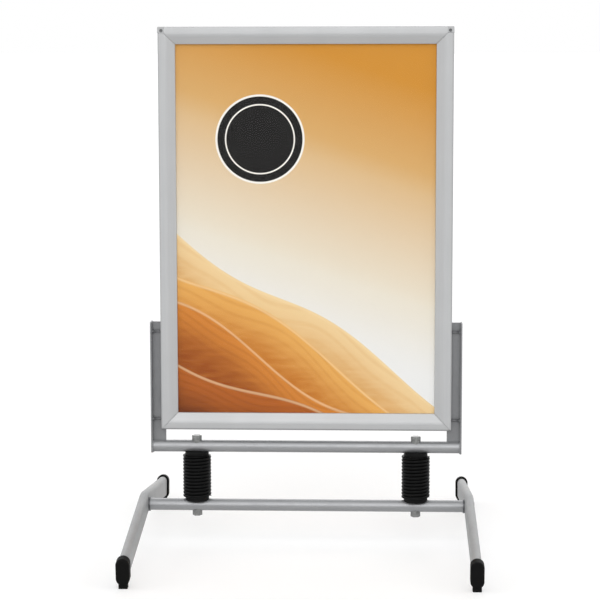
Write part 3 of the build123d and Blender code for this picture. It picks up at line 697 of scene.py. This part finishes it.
def plate_with_hole(outline, hole, thickness, bevel):
    """A flat disc with a hole and eased edges, its top at z = 0."""
    curve = bpy.data.curves.new("plate", "CURVE")
    curve.dimensions = "2D"
    curve.fill_mode = "BOTH"
    curve.extrude = thickness / 2 - bevel
    curve.bevel_depth = bevel
    curve.bevel_resolution = EASED_STEPS
    curve.offset = -bevel
    for points in (outline, hole):
        spline = curve.splines.new("POLY")
        spline.points.add(len(points) - 1)
        for place, (x, y) in zip(spline.points, points):
            place.co = (x, y, 0, 1)
        spline.use_cyclic_u = True
    thing = bpy.data.objects.new("plate", curve)
    mesh = bpy.data.meshes.new_from_object(thing)
    mesh.transform(Matrix.Translation((0, 0, -thickness / 2)))
    bpy.data.objects.remove(thing)
    return mesh


def add_turned(bm, profile, sides=ROUND_SIDES):
    """A closed solid turned round Z from (radius, height) points, lowest first. Six sides make a hexagon."""
    loft(bm, [[bm.verts.new((x, y, z)) for x, y in ring_points(radius, sides)] for radius, z in profile])


def fastener_mesh(name, head, height, bevel, recess, depth, under, seat, shank, length):
    """A recessed head whose top is at z = 0, over a round shank.

    head, under and seat are the head's radii: at its top, at its underside and at the recess's floor.
    """
    bm = bmesh.new()
    bm.from_mesh(plate_with_hole(ring_points(head, ROUND_SIDES), recess, depth, bevel))
    add_turned(bm, ((under, -height), (seat, -depth)))
    add_turned(bm, ((shank, -length), (shank, -height)))
    mesh = mesh_of(name, bm)
    for face in mesh.polygons:
        face.use_smooth = len(face.vertices) == 4
    return mesh


def place_fasteners(node, body, material, mesh, places):
    """Copies of one fastener at several places, each pointing along its own axis, as one piece."""
    bm = bmesh.new()
    for at, outward in places:
        copy = mesh.copy()
        copy.transform(Matrix.Translation(at) @ Vector(outward).to_track_quat("Z", "Y").to_matrix().to_4x4())
        bm.from_mesh(copy)
    name = node + "_detail"
    thing = add_piece(name, mesh_of(name, bm), material)
    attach(thing, body)
    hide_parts(node)


# Corner cap screws: pan heads with a cross recess, sunk in the caps

CAP_HEAD = 0.0036

low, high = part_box("corner_cap_screws")
screw = fastener_mesh(
    "cap_screw", head=CAP_HEAD, height=0.0022, bevel=0.0005,
    recess=cross_points(reach=0.0022, arm=0.0006), depth=0.0014,
    under=CAP_HEAD, seat=CAP_HEAD, shank=0.0020, length=0.0102,
)
places = [
    ((x, y, (low.z + high.z) / 2), (0, y, 0))
    for x in (low.x + CAP_HEAD, high.x - CAP_HEAD)
    for y in (low.y, high.y)
]
place_fasteners("corner_cap_screws", "sign", dark_fastener, screw, places)


# Upright screws: countersunk heads with a hexagon socket, their shanks crossing to the rails

UPRIGHT_HEAD = 0.0048

low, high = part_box("upright_screws")
screw = fastener_mesh(
    "upright_screw", head=UPRIGHT_HEAD, height=0.0024, bevel=0.0002,
    recess=ring_points(0.0018, 6), depth=0.0018,
    under=0.0030, seat=0.0037, shank=0.0025, length=0.0351,
)
places = [
    ((x, y, z), (x, 0, 0))
    for x in (low.x, high.x)
    for y in (low.y + UPRIGHT_HEAD, high.y - UPRIGHT_HEAD)
    for z in (low.z + UPRIGHT_HEAD, high.z - UPRIGHT_HEAD)
]
place_fasteners("upright_screws", "sign", shaded_upright_fastener, screw, places)


# Leg bolts: low heads with a hexagon socket, flat on the legs

LEG_BOLT_HEIGHT = 0.0022

low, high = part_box("leg_bolts")
leg_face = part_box("right_leg")[1].x
leg_head = (high.z - low.z) / 2
bolt = fastener_mesh(
    "leg_bolt", head=leg_head, height=LEG_BOLT_HEIGHT, bevel=0.0009,
    recess=ring_points(0.0035, 6), depth=0.0020,
    under=leg_head, seat=leg_head, shank=0.0050, length=0.050,
)
places = [
    ((side * (leg_face + LEG_BOLT_HEIGHT), 0, (low.z + high.z) / 2), (side, 0, 0))
    for side in (-1, 1)
]
place_fasteners("leg_bolts", "base", fastener, bolt, places)


# Plug bolts: hexagon heads with a chamfered top, and shanks into the springs

HEX_CORNER = 0.01097
HEX_HEIGHT = 0.0076
HEX_CHAMFER = 0.0009
SHANK = 0.006
# Faces of fewer square metres than this are shaded smooth, which are only the chamfer's
SMOOTH_AREA = 0.00005

for level, body, up in (("upper", "sign", 1), ("lower", "base", -1)):
    node = level + "_plug_bolts"
    low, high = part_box(node)
    bm = bmesh.new()
    crown = HEX_CORNER - HEX_CHAMFER
    add_turned(bm, ((HEX_CORNER, -HEX_HEIGHT), (HEX_CORNER, -HEX_CHAMFER / 2), (crown, 0)), sides=6)
    add_turned(bm, ((SHANK, low.z - high.z), (SHANK, -HEX_HEIGHT / 2)))
    bolt = mesh_of(node, bm)
    for face in bolt.polygons:
        face.use_smooth = len(face.vertices) == 4 and face.area < SMOOTH_AREA
    head_z = high.z if up > 0 else low.z
    places = [((side * (high.x - HEX_CORNER), 0, head_z), (0, 0, up)) for side in (-1, 1)]
    place_fasteners(node, body, fastener, bolt, places)


# Weld beads where the upper crossbar meets the uprights

BEAD_RADIUS = 0.0018
BEAD_STEPS = 120
BEAD_SIDES = 10
RIPPLES = 30
RIPPLE_SWELL = 0.10
SLOW_RIPPLES = 3
SLOW_SWELL = 0.05


def weld_bead(name, radius):
    """A ring of overlapping ripples round the X axis."""
    bm = bmesh.new()
    rings = []
    for k in range(BEAD_STEPS):
        a = 2 * math.pi * k / BEAD_STEPS
        swell = 1 + RIPPLE_SWELL * math.sin(RIPPLES * a) + SLOW_SWELL * math.sin(SLOW_RIPPLES * a)
        ring = []
        for s in range(BEAD_SIDES):
            b = 2 * math.pi * s / BEAD_SIDES
            x = BEAD_RADIUS * swell * math.sin(b)
            out = radius + BEAD_RADIUS * swell * math.cos(b)
            ring.append(bm.verts.new((x, out * math.cos(a), out * math.sin(a))))
        rings.append(ring)
    for k in range(BEAD_STEPS):
        bridge(bm, rings[k], rings[(k + 1) % BEAD_STEPS])
    bmesh.ops.recalc_face_normals(bm, faces=bm.faces)
    mesh = mesh_of(name, bm)
    smooth(mesh)
    return mesh


low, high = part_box("upper_crossbar")
bar_radius = (high.z - low.z) / 2
for side, x in (("left", low.x), ("right", high.x)):
    mesh = weld_bead(side + "_weld", bar_radius)
    mesh.transform(Matrix.Translation((x, 0, (low.z + high.z) / 2)))
    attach(add_piece(side + "_weld", mesh, bar_paint), "sign")


# Floor: plain and pale. Where it is seen it also glows a little, which lights nothing else.

FLOOR_HALF = 150
FLOOR_TONE = (206, 206, 206)
FLOOR_GLOW = 0.40
WHITE = (1, 1, 1, 1)

corners = [
    (-FLOOR_HALF, -FLOOR_HALF, 0),
    (FLOOR_HALF, -FLOOR_HALF, 0),
    (FLOOR_HALF, FLOOR_HALF, 0),
    (-FLOOR_HALF, FLOOR_HALF, 0),
]
floor_mesh = bpy.data.meshes.new("floor")
floor_mesh.from_pydata(corners, [], [(0, 1, 2, 3)])
floor = bpy.data.objects.new("floor", floor_mesh)
scene.collection.objects.link(floor)
ground = material_tree("floor")
ground.set(Base_Color=colour(FLOOR_TONE), Roughness=0.9, Specular_IOR_Level=0.1)
ground.set(Emission_Color=WHITE, Emission_Strength=ground.math("MULTIPLY", ground.seen(), FLOOR_GLOW))
floor_mesh.materials.append(ground.owner)


# Light: a plain white room and five large soft lamps

# The room's strength as a light, and where it is seen
ROOM_LIGHT = 0.62
ROOM_SEEN = 1.0

scene.world = bpy.data.worlds.new("room")
room = Tree(scene.world, "Background")
strength = room.node("ShaderNodeMix")
room.link(room.seen(), strength.inputs["Factor"])
room.link(ROOM_LIGHT, strength.inputs["A"])
room.link(ROOM_SEEN, strength.inputs["B"])
room.set(Color=WHITE, Strength=strength.outputs["Result"])


def sun(name, azimuth, elevation, strength, size):
    """A soft lamp far away, its angles in degrees. Azimuth 0 is in front, 90 to the right."""
    data = bpy.data.lights.new(name, "SUN")
    data.energy = strength
    data.angle = math.radians(size)
    lamp = bpy.data.objects.new(name, data)
    a, e = math.radians(azimuth), math.radians(elevation)
    towards = Vector((math.sin(a) * math.cos(e), -math.cos(a) * math.cos(e), math.sin(e)))
    lamp.rotation_euler = towards.to_track_quat("Z", "Y").to_euler()
    scene.collection.objects.link(lamp)


sun("key", azimuth=0, elevation=42, strength=0.60, size=50)
sun("low", azimuth=0, elevation=18, strength=0.55, size=40)
sun("left", azimuth=-84, elevation=14, strength=0.95, size=60)
sun("right", azimuth=84, elevation=14, strength=0.95, size=60)
sun("back", azimuth=178, elevation=28, strength=0.75, size=60)
